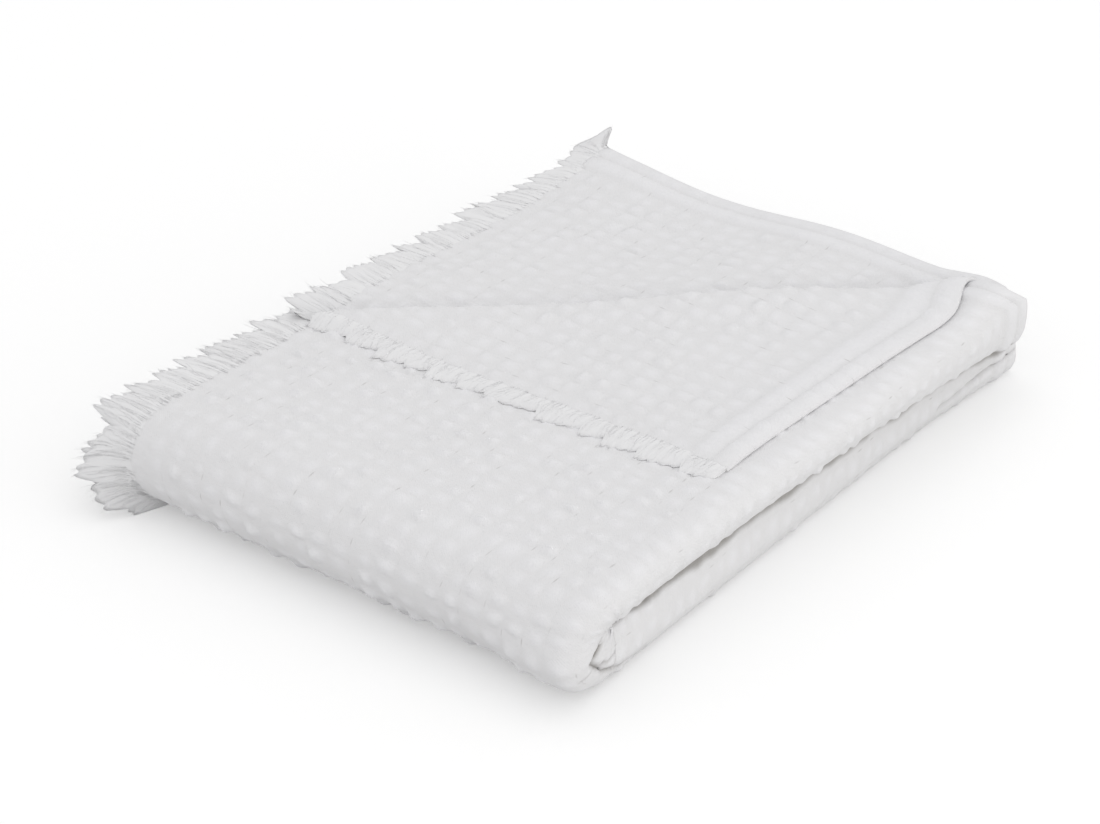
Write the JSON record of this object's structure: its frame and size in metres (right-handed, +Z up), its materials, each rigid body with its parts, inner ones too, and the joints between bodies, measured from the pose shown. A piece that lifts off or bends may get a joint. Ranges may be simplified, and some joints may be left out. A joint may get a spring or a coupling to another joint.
{
  "type": "waffle weave cotton blanket",
  "caption": "Folded waffle weave cotton throw with fringed ends and turned hems, lying in a flat pile with one corner of its top layer turned back.",
  "frame": {"origin": "centre of the folded pile's box, on the surface that it lies on", "axes": "+Z up; +X from the fringed edge to the rolled edge; +Y from the round front fold to the open hems, the pile's longest side"},
  "size_m": [0.4952, 0.6642, 0.1003],
  "materials": {
    "waffle_cotton": "matt white cotton in a raised waffle weave",
    "fringe_cotton": "loose white cotton yarn, cut short"
  },
  "bodies": {
    "root": {"waffle_cloth": "waffle_cotton", "outer_fringe": "fringe_cotton", "inner_fringe": "fringe_cotton"}
  },
  "joints": []
}
